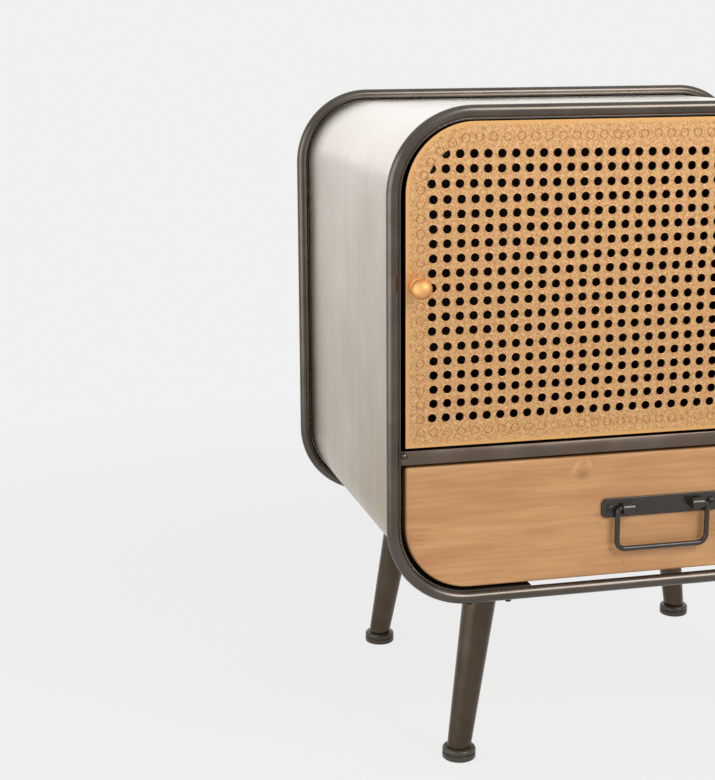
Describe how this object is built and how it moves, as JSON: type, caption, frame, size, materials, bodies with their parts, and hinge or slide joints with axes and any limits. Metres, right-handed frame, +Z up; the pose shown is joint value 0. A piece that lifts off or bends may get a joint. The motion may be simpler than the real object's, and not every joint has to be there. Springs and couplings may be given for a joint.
{
  "type": "nightstand",
  "caption": "Rounded steel nightstand between bent bar hoops, with a perforated swinging door above a wooden drawer with a bail pull, on splayed tapered legs.",
  "frame": {"origin": "on the floor, in the middle of the object's width and of its whole depth, knob included", "axes": "+Z up, X along the width to the right, the door and drawer face -Y"},
  "size_m": [0.455, 0.369, 0.54],
  "materials": {
    "gunmetal_steel": "satin gunmetal lacquer on steel bar",
    "grey_lacquered_sheet": "satin lacquered sheet steel, faintly clouded",
    "black_foot": "matt moulded nylon",
    "brass_sheet": "embossed brass-plated sheet",
    "polished_brass": "polished brass",
    "fir_board": "waxed honey fir, grain along the board",
    "box_wood": "plain planed softwood",
    "black_iron": "blackened wrought iron",
    "zinc_steel": "zinc plated steel",
    "black_bolt": "blackened steel",
    "catch_plastic": "moulded nylon",
    "magnet": "ferrite"
  },
  "bodies": {
    "case": {"front_frame": "gunmetal_steel", "rear_frame": "gunmetal_steel", "case_shell": "grey_lacquered_sheet", "mid_rail": "gunmetal_steel", "rear_rail": "gunmetal_steel", "shelf_panel": "grey_lacquered_sheet", "back_panel": "grey_lacquered_sheet", "runner_bracket_left": "grey_lacquered_sheet", "runner_bracket_right": "grey_lacquered_sheet", "slide_outer_left": "zinc_steel", "slide_outer_right": "zinc_steel", "slide_rivets": "zinc_steel", "leg_bolts": "black_bolt", "leg_nuts": "black_bolt", "hinge_frame_leaf_lower": "polished_brass", "hinge_frame_leaf_upper": "polished_brass", "hinge_pins": "polished_brass", "catch_housing": "catch_plastic", "catch_magnet": "magnet", "catch_screws": "zinc_steel", "leg_front_left": "gunmetal_steel", "leg_plate_front_left": "gunmetal_steel", "foot_front_left": "black_foot", "leg_front_right": "gunmetal_steel", "leg_plate_front_right": "gunmetal_steel", "foot_front_right": "black_foot", "leg_rear_left": "gunmetal_steel", "leg_plate_rear_left": "gunmetal_steel", "foot_rear_left": "black_foot", "leg_rear_right": "gunmetal_steel", "leg_plate_rear_right": "gunmetal_steel", "foot_rear_right": "black_foot"},
    "door": {"door_panel": "brass_sheet", "door_rim": "brass_sheet", "door_knob": "polished_brass", "knob_screw": "zinc_steel", "hinge_door_leaf_lower": "polished_brass", "hinge_door_leaf_upper": "polished_brass", "catch_strike": "zinc_steel"},
    "drawer": {"drawer_front": "fir_board", "box_front": "box_wood", "drawer_side_left": "box_wood", "drawer_side_right": "box_wood", "drawer_back": "box_wood", "drawer_bottom": "box_wood", "front_screws": "zinc_steel", "slide_inner_left": "zinc_steel", "slide_inner_right": "zinc_steel", "slide_screws": "zinc_steel", "handle_plate": "black_iron", "handle_screws": "black_iron"},
    "bail": {"handle_bail": "black_iron"},
    "slide_middle_left": {"slide_middle_left": "zinc_steel"},
    "slide_middle_right": {"slide_middle_right": "zinc_steel"}
  },
  "joints": [
    {"name": "door_hinge", "type": "hinge", "parent": "case", "child": "door", "pos_m": [0.2143, -0.1647, 0.4024], "axis": [0, 0, 1], "range_deg": [0, 110]},
    {"name": "drawer_slide", "type": "slide", "parent": "case", "child": "drawer", "axis": [0, -1, 0], "range_m": [0, 0.22]},
    {"name": "bail_swing", "type": "hinge", "parent": "drawer", "child": "bail", "pos_m": [0, -0.166, 0.2168], "axis": [-1, 0, 0], "range_deg": [0, 100]},
    {"name": "middle_left_slide", "type": "slide", "parent": "case", "child": "slide_middle_left", "axis": [0, -1, 0], "range_m": [0, 0.11]},
    {"name": "middle_right_slide", "type": "slide", "parent": "case", "child": "slide_middle_right", "axis": [0, -1, 0], "range_m": [0, 0.11]}
  ],
  "couplings": [
    {"joint": "middle_left_slide", "follows": "drawer_slide", "ratio": 0.5},
    {"joint": "middle_right_slide", "follows": "drawer_slide", "ratio": 0.5}
  ]
}
